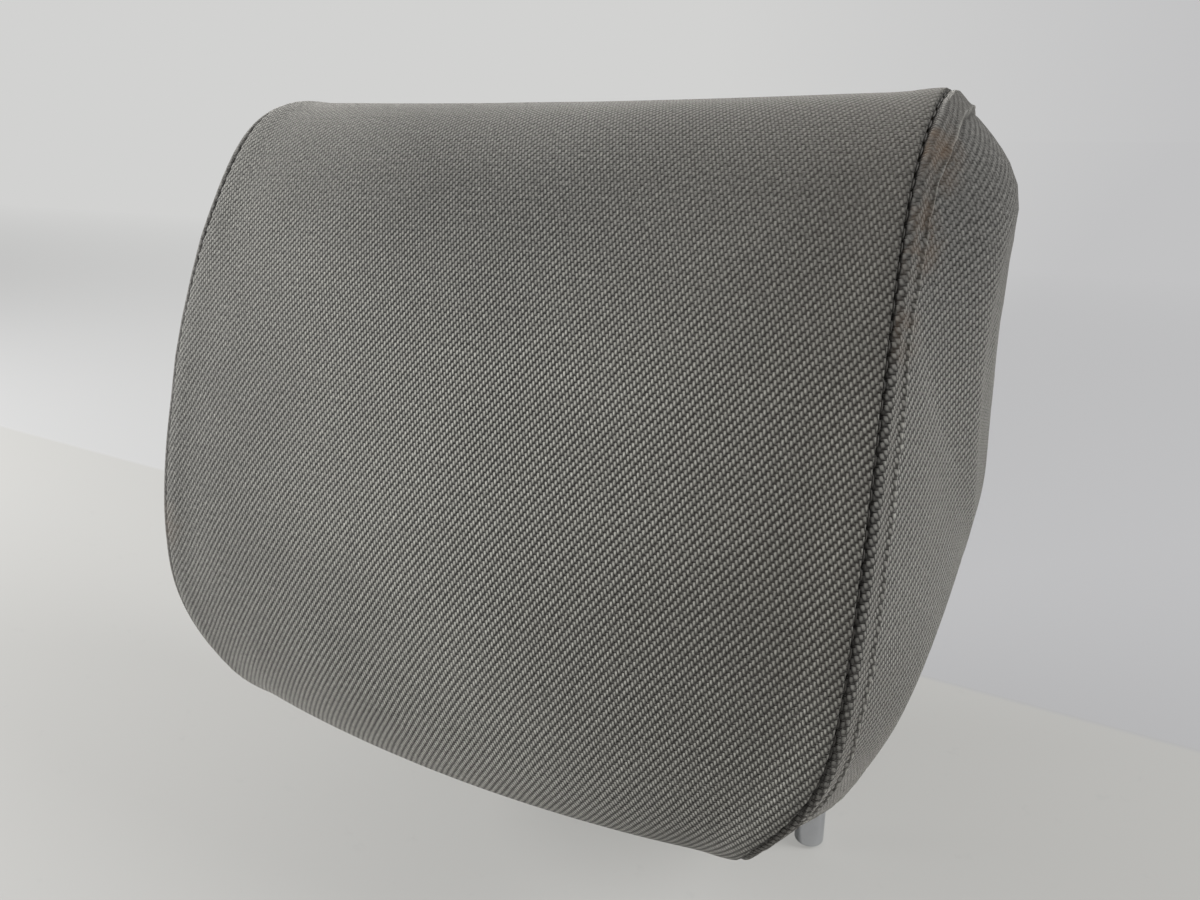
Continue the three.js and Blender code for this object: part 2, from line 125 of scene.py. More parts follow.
# The photographed gussets are narrower than the CAD's above the middle and wider below it:
# the height of each change, how far it spreads and how wide it is
REACH_CHANGES = ((189, 38, -2.9), (95, 25, 2.2))
# How far the left seam bulges out beyond the CAD's, by height
LEFT_BULGE = np.array([
    [110, 0], [131, 1.4], [144, 2.4], [157, 3.3], [169, 4.8], [181, 5.2], [194, 4.8], [206, 3.8],
    [218, 1.9], [234, 0],
])

# The cloth simulation: every third row of the sheet is simulated, from SWELL_ROOM inside its
# place, and what it finds is kept between the two caps
SIM_ROW_STEP = 3
SIM_FRAMES = 16
SWELL_ROOM = 0.8
SWELL_CAP = 1.3
SINK_CAP = 0.3
# The columns close to the seam that the simulated sheets leave out
PANEL_SKIPPED = (1, 2, 3, 4, 5, 7, 9, 11)
GUSSET_SKIPPED = tuple(k for k in range(1, 24) if k not in (5, 8, 12, 17, 21))
CLOTH_SETTINGS = {
    "quality": 6, "mass": 0.25, "tension_stiffness": 60, "compression_stiffness": 60,
    "shear_stiffness": 20, "tension_damping": 25, "compression_damping": 25, "shear_damping": 25,
    "air_damping": 5, "bending_stiffness": 3, "use_pressure": True, "uniform_pressure_force": 4,
    "shrink_min": -0.0004, "vertex_group_mass": "held",
}

# The cloth is a two-and-one twill: each warp thread passes over two wefts and under one. A float
# shows as a bright bead, and the gap below it, between two threads, as a dark dash.
WARP_PITCH = 0.647
WEFT_PITCH = 0.885
REPEAT = 3 * WEFT_PITCH
BEAD_HALF_WIDTH = 0.404
BEAD_HALF_LENGTH = 0.865
BEAD_LEAN = -0.14
DASH_HALF_WIDTH = 0.542
DASH_HALF_HEIGHT = 0.185
DASH_RISE = 0.169
# How squarely beads and dashes end
SPOT_POWER = 2.56
# The dashes lie a little off the middle of the gaps: across the warps, and in repeats along them
DASH_ACROSS = 0.082
DASH_ALONG = 0.081
CLOTH_TONES = (
    (0.0, "#201f1e"), (0.2, "#393836"), (0.42, "#6d6c69"), (0.68, "#989791"), (1.0, "#cbcac4"))
# The colour of the painted shade on the cloth
PAINTED_SHADE_TONE = "#3c3731"
# The colour of the painted highlight on the seam allowance's ridge
RIDGE_HIGHLIGHT = "#b3b1aa"
STAIN = "#5f4a36"
# Stains rubbed into the seam strips: place in metres, size and strength
STAINS = [
    ((0.1105, -0.0250, 0.2330), 0.011, 0.8),
    ((0.1105, -0.0385, 0.2165), 0.012, 0.7),
    ((0.1110, -0.0475, 0.1970), 0.010, 0.4),
    ((-0.1118, -0.0806, 0.1176), 0.010, 0.35),
]

# The floor lies a little under the posts. It is painted as a wall beyond a line, given by the
# line's place at x = 0 and its slope, in metres.
FLOOR_REACH = 6000
FLOOR_DROP = 0.2
FLOOR = "#cccbc7"
FLOOR_SHADE = (0.65, 0.65, 0.66, 1)
FLOOR_GLOW = 0.48
# The wall's colour, and its colour towards the right, darker there by painted shade
WALL = "#d2d2d1"
WALL_RIGHT = "#c2c2c3"
WALL_LINE = 0.1215
WALL_SLOPE = -0.04

# The room is dimmer on the side that the picture was taken from, by DIM_SHARE
DIM_SIDE = (0.5, -0.86, 0.05)
DIM_SHARE = 0.42
SKY = 0.43
LAMP_TARGET = (0, 0, 0.15)

# The camera that took the photo, in metres and degrees, and in millimetres for its lens
CAMERA_PLACE = (0.142, -0.2547, 0.2453)
CAMERA_YAW, CAMERA_PITCH, CAMERA_ROLL = 27.56, 20.98, -0.9
SENSOR_WIDTH, LENS = 36, 27


# Numbers

def smooth(value, low, high):
    x = np.clip((value - low) / (high - low), 0, 1)
    return x * x * (3 - 2 * x)


def unit(vectors):
    return vectors / np.maximum(np.linalg.norm(vectors, axis=-1, keepdims=True), 1e-9)


def wander(positions, scale, seed):
    """A smooth random line of about unit height along positions, a wave every scale."""
    rng = np.random.default_rng(seed)
    total = np.zeros_like(positions)
    for k in range(5):
        wave = scale * (0.55 + 0.9 * rng.random())
        total += np.sin(2 * math.pi * (positions / wave + rng.random()))
    return total / 2.2


def spline(rows, t):
    start = np.floor(t).astype(int)
    u = t - start
    weights = (
        (1 - u) ** 3, 3 * u ** 3 - 6 * u ** 2 + 4, -3 * u ** 3 + 3 * u ** 2 + 3 * u + 1, u ** 3)
    return sum(w[:, None] * rows[(start + k - 1) % len(rows)] for k, w in enumerate(weights)) / 6


def bell(value, middle, spread):
    """1 at the middle, and less on both sides of it."""
    return np.exp(-((value - middle) / spread) ** 2)


# The cushion's base surface

fitting = spline(SEAM_LOOP, np.arange(0, len(SEAM_LOOP), 0.05))
loop_low = fitting[:, :2].min(0)
loop_size = fitting[:, :2].max(0) - loop_low


def fit(back, up):
    y = (back - loop_low[0]) * DEPTH / loop_size[0] - FRONT_REACH
    z = (up - loop_low[1]) * HEIGHT / loop_size[1] + POST_EXPOSED
    return y, z


MIDDLE_Y, MIDDLE_Z = fit(*GUSSET_MIDDLE)


class Loop:
    """The seam seen from the side, in even steps from the slit's front lip round to its rear."""

    def __init__(self, steps):
        rows = len(SEAM_LOOP)
        under = np.linspace(rows - 3.7, rows - 1, 4000)
        under_y = fit(*spline(SEAM_LOOP, under)[:, :2].T)[0]
        first = np.interp(-(SLIT_AT - SLIT_WIDTH / 2), -under_y, under)
        last = np.interp(-(SLIT_AT + SLIT_WIDTH / 2), -under_y, under) + rows
        t = np.linspace(first, last, 6000)
        y, z = fit(*spline(SEAM_LOOP, t)[:, :2].T)
        run = np.r_[0, np.cumsum(np.hypot(np.diff(y), np.diff(z)))]
        self.run = np.linspace(0, run[-1], steps)
        points = spline(SEAM_LOOP, np.interp(self.run, run, t))
        self.y, self.z = fit(points[:, 0], points[:, 1])
        self.half = WIDTH / 2 - points[:, 2]
        self.ramp = points[:, 3]
        slope_y = np.gradient(self.y, self.run)
        slope_z = np.gradient(self.z, self.run)
        self.outward = unit(np.stack([-slope_z, slope_y], -1))
        back = (self.y - MIDDLE_Y) / (DEPTH / 2)
        up = (self.z - MIDDLE_Z) / (HEIGHT / 2)
        shares = np.maximum(np.stack([-back, up, back, -up], -1), 0) ** 2
        shares /= (back ** 2 + up ** 2)[:, None]
        self.crown = shares @ CROWNS


def gusset_reach(z):
    """Half the cushion's width: a little less above the middle and more below, as photographed."""
    taper = GUSSET_TAPER * (1 - smooth(z, POST_EXPOSED, POST_EXPOSED + HEIGHT / 2))
    reach = WIDTH / 2 - taper
    for height, spread, change in REACH_CHANGES:
        reach = reach + change * bell(z, height, spread)
    return reach


def panel_base(loop, edge, middle):
    """Points of the panel, and their distance from the nearer seam."""
    edge = np.array(edge, float)
    inner = np.linspace(0, 1, middle + 1)[1:]
    inset = np.concatenate(
        [np.tile(edge, (len(loop.run), 1)),
         edge[-1] + (loop.half[:, None] - edge[-1]) * inner[None]], 1)
    across = 1 - inset / loop.half[:, None]
    across = np.concatenate([-across, across[:, -2::-1]], 1)
    inset = np.concatenate([inset, inset[:, -2::-1]], 1)
    rise = loop.crown[:, None] * (1 - across ** 2)
    points = np.stack([
        loop.half[:, None] * across,
        loop.y[:, None] + loop.outward[:, :1] * rise,
        loop.z[:, None] + loop.outward[:, 1:] * rise,
    ], -1)
    return points, inset


def gusset_base(loop, side, edge, middle, wobble=0):
    """Points of a gusset, their distance from its seam, and the pole at its middle.

    The rows of points beside the strip's ridge move in and out with it by wobble."""
    ring = np.linspace(1, 0, 400)[None]
    y = MIDDLE_Y + (loop.y[:, None] - MIDDLE_Y) * ring
    z = MIDDLE_Z + (loop.z[:, None] - MIDDLE_Z) * ring
    swell = np.sin(math.pi / 2 * np.minimum((1 - ring) / loop.ramp[:, None], 1))
    x = side * (loop.half[:, None] + (gusset_reach(z) - loop.half[:, None]) * swell)
    fine = np.stack([x, y, z], -1)
    run = np.linalg.norm(np.diff(fine, axis=1), axis=2)
    run = np.concatenate([np.zeros((len(run), 1)), np.cumsum(run, 1)], 1)
    edge = np.array(edge, float)
    shares = np.linspace(0, 0.975, middle + 1)[1:]
    away = np.concatenate(
        [np.tile(edge, (len(run), 1)), edge[-1] + (run[:, -1:] - edge[-1]) * shares[None]], 1)
    moved = away + wobble * bell(away, STRIP_EDGE, 2.6) * smooth(away, 0, 3)
    points = np.stack([
        np.stack([np.interp(moved[i], run[i], fine[i, :, axis]) for axis in range(3)], -1)
        for i in range(len(run))
    ])
    pole = np.array([side * gusset_reach(MIDDLE_Z), MIDDLE_Y, MIDDLE_Z])
    return points, away, pole


def normals_of(points, closed, flip):
    if closed:
        along = np.roll(points, -1, 0) - np.roll(points, 1, 0)
    else:
        along = np.gradient(points, axis=0)
    across = np.gradient(points, axis=1)
    return unit(np.cross(across, along)) * (-1 if flip else 1)


def push_left_seam(points, share):
    """Moves the left seam out where the photographed one bulges, by share of the whole amount."""
    bulge = np.interp(points[..., 2], *LEFT_BULGE.T) * smooth(-points[..., 1], 15, 45)
    points[..., 0] -= bulge * share


loop = Loop(LOOP_STEPS)
panel, panel_inset = panel_base(loop, PANEL_EDGE, PANEL_MIDDLE)
panel_flat_x = panel[..., 0].copy()
push_left_seam(panel, smooth(-panel_flat_x, 20, 112))
panel_normals = normals_of(panel, False, False)
gussets = {}
for side in SIDES:
    ridge = 0.42 * wander(loop.run, 34, 21 + side) + 0.2 * wander(loop.run, 8, 31 + side)
    points, away, pole = gusset_base(
        loop, side, GUSSET_EDGE, GUSSET_MIDDLE_STEPS, ridge[:, None])
    if side < 0:
        push_left_seam(points, 1 - smooth(away, 0, 40))
    gussets[side] = (points, away, pole, normals_of(points, True, side < 0))
seam_normals = {
    side: unit(panel_normals[:, -1 if side > 0 else 0] + gussets[side][3][:, 0])
    for side in SIDES
}


# Meshes

def new_object(name, vertices, faces, materials, smooth_faces=True):
    mesh = bpy.data.meshes.new(name)
    mesh.from_pydata((np.asarray(vertices) * MM).tolist(), [], [tuple(f) for f in faces])
    mesh.validate()
    mesh.update()
    for face in mesh.polygons:
        face.use_smooth = smooth_faces
    for item in materials:
        mesh.materials.append(item)
    thing = bpy.data.objects.new(name, mesh)
    bpy.context.scene.collection.objects.link(thing)
    return thing


def set_cloth(mesh, values):
    """Gives a mesh its place on the cloth at each point: u, v and the distance from the seam."""
    points = mesh.attributes.new("cloth", "FLOAT_VECTOR", "POINT")
    points.data.foreach_set("vector", np.asarray(values, np.float32).ravel())


def grid_faces(rows, columns, start=0, closed=False, flip=False):
    faces = []
    for i in range(rows if closed else rows - 1):
        j = (i + 1) % rows
        for k in range(columns - 1):
            a, b = start + i * columns + k, start + i * columns + k + 1
            c, d = start + j * columns + k + 1, start + j * columns + k
            faces.append((a, d, c, b) if flip else (a, b, c, d))
    return faces


def ring(centre, across, up, radius, sides):
    """Points on a circle."""
    angles = [2 * math.pi * m / sides for m in range(sides)]
    return [centre + (across * math.cos(a) + up * math.sin(a)) * radius for a in angles]


def bar_faces(rings, sides, start, flip):
    """Faces round a row of rings, with both ends closed."""
    faces = []
    for k in range(rings - 1):
        for m in range(sides):
            a, b = start + k * sides + m, start + k * sides + (m + 1) % sides
            faces.append((a, a + sides, b + sides, b) if flip else (a, b, b + sides, a + sides))
    for first, turned_round in ((start, not flip), (start + (rings - 1) * sides, flip)):
        end = tuple(range(first, first + sides))
        faces.append(end[::-1] if turned_round else end)
    return faces


def boolean(thing, cutter, operation="DIFFERENCE"):
    """Takes the cutter away from thing, or adds it to it, and removes the cutter."""
    step = thing.modifiers.new("cut", "BOOLEAN")
    step.object = cutter
    step.operation = operation
    step.solver = "MANIFOLD"
    bpy.context.view_layer.update()
    graph = bpy.context.evaluated_depsgraph_get()
    result = bpy.data.meshes.new_from_object(thing.evaluated_get(graph))
    thing.modifiers.clear()
    old = thing.data
    thing.data = result
    bpy.data.meshes.remove(old)
    bpy.data.objects.remove(cutter)


def shade(thing, degrees):
    """Smooth shading with crisp edges above an angle."""
    mesh = thing.data
    for face in mesh.polygons:
        face.use_smooth = True
    mesh.set_sharp_from_angle(angle=math.radians(degrees))


def add(name, thing, slot, *nodes):
    thing.name = name
    thing.data.name = name
    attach(thing, "root")
    if nodes:
        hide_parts(*nodes)


# Materials

def linear(code):
    values = [int(code[i:i + 2], 16) / 255 for i in (1, 3, 5)]
    return tuple(v / 12.92 if v <= 0.04045 else ((v + 0.055) / 1.055) ** 2.4 for v in values) + (1,)


class Nodes:
    """Short ways to write a node tree. A value is a number, a colour code or a node's output."""

    def __init__(self, tree):
        self.tree = tree

    def node(self, kind, **settings):
        made = self.tree.nodes.new("ShaderNode" + kind)
        for name, value in settings.items():
            setattr(made, name, value)
        return made

    def wire(self, value, socket):
        if isinstance(value, bpy.types.NodeSocket):
            self.tree.links.new(value, socket)
        else:
            socket.default_value = linear(value) if isinstance(value, str) else value

    def fill(self, node, values):
        """The node, with values in the inputs that they are named or numbered for."""
        for key, value in values.items():
            self.wire(value, node.inputs[key])
        return node

    def calc(self, operation, *values, clamp=False):
        node = self.node("Math", operation=operation, use_clamp=clamp)
        return self.fill(node, dict(enumerate(values))).outputs[0]

    plus = partialmethod(calc, "ADD")
    minus = partialmethod(calc, "SUBTRACT")
    times = partialmethod(calc, "MULTIPLY")

    def swing(self, value, amount):
        """How far a value lies from a half, times an amount."""
        return self.times(self.minus(value, 0.5), amount)

    def climb(self, value, start, rate):
        """From 0 at start to 1, at a rate. With a rate below 0 it climbs the other way."""
        return self.times(self.minus(value, start), rate, clamp=True)

    def bell(self, value, sharpness):
        """1 where a value is 0, and less on both sides."""
        return self.calc("POWER", math.e, self.times(self.times(value, value), -sharpness))

    def noise(self, vector, scale, detail, roughness=0.5):
        return self.fill(self.node("TexNoise"), {
            "Vector": vector, "Scale": scale, "Detail": detail, "Roughness": roughness,
        }).outputs["Fac"]

    def ramp(self, value, *stops):
        node = self.fill(self.node("ValToRGB"), {"Fac": value})
        elements = node.color_ramp.elements
        while len(elements) < len(stops):
            elements.new(0.5)
        for element, (position, colour) in zip(elements, stops):
            element.position = position
            element.color = linear(colour)
        return node.outputs["Color"]

    def mix(self, factor, a, b, blend="MIX"):
        node = self.node("Mix", data_type="RGBA", blend_type=blend)
        return self.fill(node, {0: factor, 6: a, 7: b}).outputs[2]

    def separate(self, vector):
        return self.fill(self.node("SeparateXYZ"), {0: vector}).outputs

    def coordinates(self, kind="Object"):
        return self.node("TexCoord").outputs[kind]

    def vectors(self, operation, a, b):
        node = self.node("VectorMath", operation=operation)
        return self.fill(node, {0: a, 1: b}).outputs["Value"]

    def stretch(self, vector, scale):
        node = self.node("Mapping")
        return self.fill(node, {"Vector": vector, "Scale": scale}).outputs["Vector"]

    def bump(self, height, distance):
        node = self.node("Bump")
        return self.fill(node, {"Height": height, "Distance": distance}).outputs["Normal"]


def material(name):
    made = bpy.data.materials.new(name)
    made.use_nodes = True
    n = Nodes(made.node_tree)
    n.tree.nodes.clear()
    output = n.node("OutputMaterial")
    shader = n.node("BsdfPrincipled")
    n.wire(shader.outputs["BSDF"], output.inputs["Surface"])
    return made, n, shader


def painted(name, look):
    """A material with the inputs that look gives, from the nodes and the place on the object."""
    made, n, shader = material(name)
    n.fill(shader, look(n, n.coordinates()))
    return made


def rounded_spot(n, across, along, half_across, half_along):
    """A rounded spot of height 1 with an oval foot."""
    one, two = (
        n.calc("POWER", n.calc("DIVIDE", n.calc("ABSOLUTE", value), half), SPOT_POWER)
        for value, half in ((across, half_across), (along, half_along)))
    return n.minus(1.0, n.plus(one, two), clamp=True)


def twill(n, u, v):
    """The beads and the dashes of the weave at a place on the cloth, both from 0 to 1."""
    column = n.calc("DIVIDE", u, WARP_PITCH)
    number = n.calc("FLOOR", column)
    repeats = n.calc("DIVIDE", v, REPEAT)
    beads = dashes = 0.0
    for step in (-1, 0, 1):
        warp = n.plus(number, step)
        turns = n.minus(repeats, n.calc("DIVIDE", warp, 3.0))
        along = n.swing(n.calc("FRACT", turns), REPEAT)
        across = n.minus(n.swing(n.minus(column, warp), WARP_PITCH), n.times(along, BEAD_LEAN))
        bead = rounded_spot(n, across, along, BEAD_HALF_WIDTH, BEAD_HALF_LENGTH)
        beads = n.calc("MAXIMUM", beads, bead)
    column = n.minus(column, DASH_ACROSS)
    number = n.calc("FLOOR", column)
    for step in (0, 1):
        border = n.plus(number, step)
        turns = n.minus(repeats, n.calc("DIVIDE", n.minus(border, 1.0), 3.0))
        turns = n.calc("FRACT", n.plus(turns, 1 / 3 + DASH_ALONG))
        across = n.times(n.minus(column, border), WARP_PITCH)
        along = n.minus(n.swing(turns, REPEAT), n.times(across, DASH_RISE))
        dash = rounded_spot(n, across, along, DASH_HALF_WIDTH, DASH_HALF_HEIGHT)
        dashes = n.calc("MAXIMUM", dashes, dash)
    return beads, dashes


def painted_shade(n, colour, place, away):
    """Colour darkened by painted shade: on the panel's right half, more so higher up, and
    on the gussets near the underside."""
    x, _, z = n.separate(place)
    panel = n.times(n.climb(x, 0.015, 12), n.climb(away, 0, -1))
    panel = n.times(panel, n.plus(0.12, n.times(n.climb(z, 0.06, 14), 0.28)))
    gusset = n.times(n.times(n.climb(z, 0.13, -18), n.climb(away, 0, 1)), 0.45)
    return n.mix(gusset, n.mix(panel, colour, PAINTED_SHADE_TONE), PAINTED_SHADE_TONE)


def seam_marks(n, colour, place, away, beads):
    """Colour with the marks beside the seam: a painted highlight on the seam allowance's
    ridge, a painted shadow beyond it, painted shade in the seam, a darker strip and the stains.
    """
    rim = n.bell(n.minus(away, STRIP_EDGE - 0.1), 1.6)
    rim = n.times(rim, n.times(n.minus(n.noise(place, 70, 2), 0.12), 1.25), clamp=True)
    rim = n.times(rim, n.plus(beads, 0.35), clamp=True)
    # The painted highlight on the rim is strongest at the front
    toward_back = n.climb(n.separate(place)[1], -0.01, 16)
    rim = n.times(rim, n.minus(1.0, n.times(toward_back, 0.65)))
    # A painted shadow just beyond the ridge, where its step falls away
    step_shadow = n.bell(n.minus(away, STRIP_EDGE + 1.0), 2.5)
    strip = n.times(away, n.minus(STRIP_EDGE - 0.4, away), clamp=True)
    # The painted shade in the seam reaches further onto the gusset than onto the panel
    reach = n.minus(1.9, n.times(n.climb(away, 0, 8), 0.9))
    ditch_shade = n.bell(n.times(away, reach), 1.0)
    for share, tone in (
            (rim, RIDGE_HIGHLIGHT), (n.times(step_shadow, 0.6), "#262523"), (n.times(strip, 0.16), "#3b352e"),
            (n.times(ditch_shade, 0.7), "#1f1d1b")):
        colour = n.mix(share, colour, tone)
    blots = n.minus(n.noise(place, 160, 4, 0.6), 0.36)
    for spot, size, strength in STAINS:
        near = n.minus(1.0, n.calc("DIVIDE", n.vectors("DISTANCE", place, spot), size), clamp=True)
        near = n.times(near, n.times(blots, 4.0 * strength), clamp=True)
        if spot[0] > 0:
            near = n.times(near, n.climb(away, 0, 1))
        colour = n.mix(near, colour, STAIN)
    return colour


def cloth_look(n, place, tint, crispness, sheen):
    cloth = n.node("Attribute", attribute_name="cloth").outputs["Vector"]
    u, v, away = n.separate(cloth)
    x, _, z = n.separate(place)
    u = n.plus(u, n.swing(n.noise(place, 28, 2), 1.1))
    v = n.plus(v, n.swing(n.noise(cloth, 0.55, 1), 0.4))
    # The weave shows less at the left and the top
    weave_fade = n.times(n.calc("MAXIMUM", n.climb(x, -0.005, -9), n.climb(z, 0.18, 22)), 0.62)
    crisp = n.minus(crispness, weave_fade)
    beads, dashes = (n.times(part, crisp) for part in twill(n, u, v))
    fibres = n.noise(n.stretch(cloth, (9.0, 2.2, 1.0)), 1.6, 3, 0.65)
    height = n.plus(n.times(n.minus(beads, dashes), 0.6), n.times(fibres, 0.2))
    level = n.plus(0.47, n.times(n.minus(beads, 0.45), 0.45))
    level = n.minus(level, n.times(dashes, 0.61))
    # Threads differ a little from each other, and the cloth differs from place to place
    threads = n.noise(n.stretch(cloth, (1.5, 0.75, 0.0)), 1.0, 0)
    for change, amount in (
            (threads, 0.34), (fibres, 0.4), (n.noise(place, 14, 3), 0.16),
            (n.noise(place, 6, 1), 0.12)):
        level = n.plus(level, n.swing(change, amount))
    colour = n.mix(1.0, n.ramp(level, *CLOTH_TONES), tint, "MULTIPLY")
    # Painted shade on the panel's right half and on the gussets' lower parts
    colour = painted_shade(n, colour, place, away)
    colour = seam_marks(n, colour, place, away, beads)
    return {
        "Base Color": colour, "Roughness": n.plus(0.82, n.times(fibres, 0.14)),
        "Specular IOR Level": 0.25, "Sheen Weight": sheen, "Sheen Roughness": 0.3,
        "Sheen Tint": "#e6e3dc", "Normal": n.bump(height, 0.0004),
    }


def thread_look(n, place):
    strands = n.noise(place, 2600, 2)
    return {
        "Base Color": n.ramp(strands, (0.3, "#2c2a27"), (0.7, "#4b4843")), "Roughness": 0.6,
        "Normal": n.bump(strands, 0.00008),
    }


def chrome_look(n, place):
    haze = n.noise(place, 60, 3)
    scuffs = n.noise(n.stretch(place, (900, 900, 14)), 1.0, 2)
    return {
        "Base Color": n.ramp(haze, (0.35, "#d3d5d8"), (0.7, "#e4e6e8")), "Metallic": 1.0,
        "Roughness": n.plus(0.05, n.times(n.times(haze, scuffs), 0.22)),
        "Normal": n.bump(scuffs, 0.000004),
    }


def steel_look(n, place):
    lines = n.noise(n.stretch(place, (14, 1500, 1500)), 1.0, 2)
    spots = n.noise(place, 240, 3)
    tone = n.plus(n.times(lines, 0.6), n.times(spots, 0.4))
    return {
        "Base Color": n.ramp(tone, (0.3, "#5c5e60"), (0.7, "#9a9c9e")), "Metallic": 1.0,
        "Roughness": n.plus(0.3, n.times(spots, 0.25)), "Normal": n.bump(lines, 0.00002),
    }


def plastic_look(n, place):
    wear = n.noise(place, 180, 3)
    return {
        "Base Color": n.ramp(wear, (0.3, "#1d1d1f"), (0.75, "#2d2d30")),
        "Roughness": n.plus(0.42, n.times(wear, 0.2)),
        "Normal": n.bump(n.noise(place, 2400, 3), 0.00006),
    }


def foam_look(n, place):
    cells = n.fill(n.node("TexVoronoi"), {"Vector": place, "Scale": 900}).outputs["Distance"]
    depth = n.plus(n.times(cells, 0.5), n.times(n.noise(place, 30, 3), 0.5))
    return {
        "Base Color": n.ramp(depth, (0.2, "#a8976a"), (0.6, "#d9cfa6")), "Roughness": 0.9,
        "Normal": n.bump(cells, 0.0004),
    }


panel_cloth = painted(
    "woven_cloth_panel", partial(cloth_look, tint="#fdfdfb", crispness=1.12, sheen=0.4))
gusset_cloth = painted(
    "woven_cloth_gusset", partial(cloth_look, tint="#ffffff", crispness=0.92, sheen=0.7))
thread = painted("sewing_thread", thread_look)
chrome = painted("chrome", chrome_look)
steel = painted("drawn_steel", steel_look)
plastic = painted("moulded_plastic", plastic_look)
foam_paint = painted("moulded_foam", foam_look)


# The cover

def roll_off(away, radius):
    """How far a rounded edge lies below the face, at a distance from the edge."""
    reach = np.clip(radius - away, 0, radius)
    return radius - np.sqrt(np.maximum(radius ** 2 - reach ** 2, 0))


def stitch_dents(run, seed):
    """Small dents where each stitch pulls the cloth in, of depth 0 to 1."""
    shift = 0.35 * wander(run, 60, seed)
    return 0.5 + 0.5 * np.cos(2 * math.pi * (run + shift) / STITCH_PITCH)


def strip_height(away):
    """The seam allowance under the gusset's edge: a raised strip that ends in a ridge."""
    rise = STRIP_RISE * smooth(away, 0.2, 2.2) * (1 - smooth(away, STRIP_EDGE, STRIP_EDGE + 0.7))
    ridge = 0.6 * bell(away, STRIP_EDGE - 0.3, 0.5)
    valley = -0.4 * bell(away, STRIP_EDGE + 1.2, 0.9)
    dip = -0.25 * bell(away, STRIP_EDGE - 2.2, 1.4)
    return rise + ridge + valley + dip


def strip_share(loop):
    """The strip stands less proud along the underside and over the top."""
    low = 0.45 + 0.55 * smooth(loop.z, POST_EXPOSED + 4, POST_EXPOSED + 40)
    return low * (1 - 0.4 * smooth(loop.z, 232, 249))


def layer(points, normals, seam_normal, away, heights, seam_shift):
    """Points moved along their normals; close to the seam the direction turns to the seam's own."""
    turn = np.clip(1 - away / 4, 0, 1)[..., None] ** 2
    direction = unit(normals * (1 - turn) + seam_normal * turn)
    moved = points + direction * heights[..., None]
    moved[..., 0] += seam_shift * np.clip(1 - away / 3, 0, 1)
    return moved


def cover_object(name, outer, inner, pole, closed, flip, cloth, look):
    """A shell of an outer and an inner sheet of points, joined all round its open edges.

    A closed sheet runs round to its start, and pole holds the points that fill its middle."""
    rows, columns = outer.shape[:2]
    vertices = np.concatenate([outer.reshape(-1, 3), inner.reshape(-1, 3)])
    values = np.concatenate([cloth.reshape(-1, 3)] * 2)
    size = rows * columns
    faces = grid_faces(rows, columns, 0, closed, flip)
    faces += grid_faces(rows, columns, size, closed, not flip)
    if pole is not None:
        poles, pole_cloth = pole
        vertices = np.concatenate([vertices, poles])
        values = np.concatenate([values, [pole_cloth] * 2])
        for sheet in range(2):
            ring = [sheet * size + i * columns + columns - 1 for i in range(rows)]
            for i in range(rows):
                a, b = ring[i], ring[(i + 1) % rows]
                face = (a, 2 * size + sheet, b)
                faces.append(face[::-1] if (sheet == 1) != flip else face)
    first_column = [i * columns for i in range(rows)]
    rims = [first_column + [0]]
    if not closed:
        rims = [
            first_column,
            [(rows - 1) * columns + k for k in range(columns)],
            [i + columns - 1 for i in first_column][::-1],
            list(range(columns))[::-1],
        ]
    for rim in rims:
        for a, b in zip(rim, rim[1:]):
            face = (a, b, b + size, a + size)
            faces.append(face if flip else face[::-1])
    thing = new_object(name, vertices, faces, [look])
    set_cloth(thing.data, values)
    return thing


def make_panel():
    away = panel_inset
    rows = loop.run[:, None]
    on_left = np.arange(away.shape[1]) < away.shape[1] // 2
    left_dents, right_dents = (
        stitch_dents(loop.run, DENT_SEEDS[side])[:, None] for side in SIDES)
    dents = np.where(on_left, left_dents, right_dents)
    lip = np.minimum(rows, loop.run[-1] - rows)
    heights = -roll_off(away, SEAM_ROLL) - roll_off(lip, LIP_ROLL)
    heights -= 0.22 * dents * bell(away, 0, 1.5)
    heights += 0.35 * bell(away, 5, 4)
    pucker = 0.5 + 0.5 * wander(loop.run, 42, 5)[:, None]
    heights -= 0.22 * smooth(away, 30, 4) * pucker * smooth(away, 1, 5)
    heights = heights + panel_swell
    seam_normal = np.where(on_left[:, None], seam_normals[-1][:, None], seam_normals[1][:, None])
    shift = np.where(on_left, 1, -1) * CLEARANCE / 2
    outer = layer(panel, panel_normals, seam_normal, away, heights, shift)
    depths = np.broadcast_to(panel_swell - FABRIC, away.shape)
    inner = layer(panel, panel_normals, seam_normal, away, depths, shift)
    cloth = np.stack([panel_flat_x, np.broadcast_to(rows, away.shape), -away], -1)
    return cover_object("cover_panel", outer, inner, None, False, False, cloth, panel_cloth)


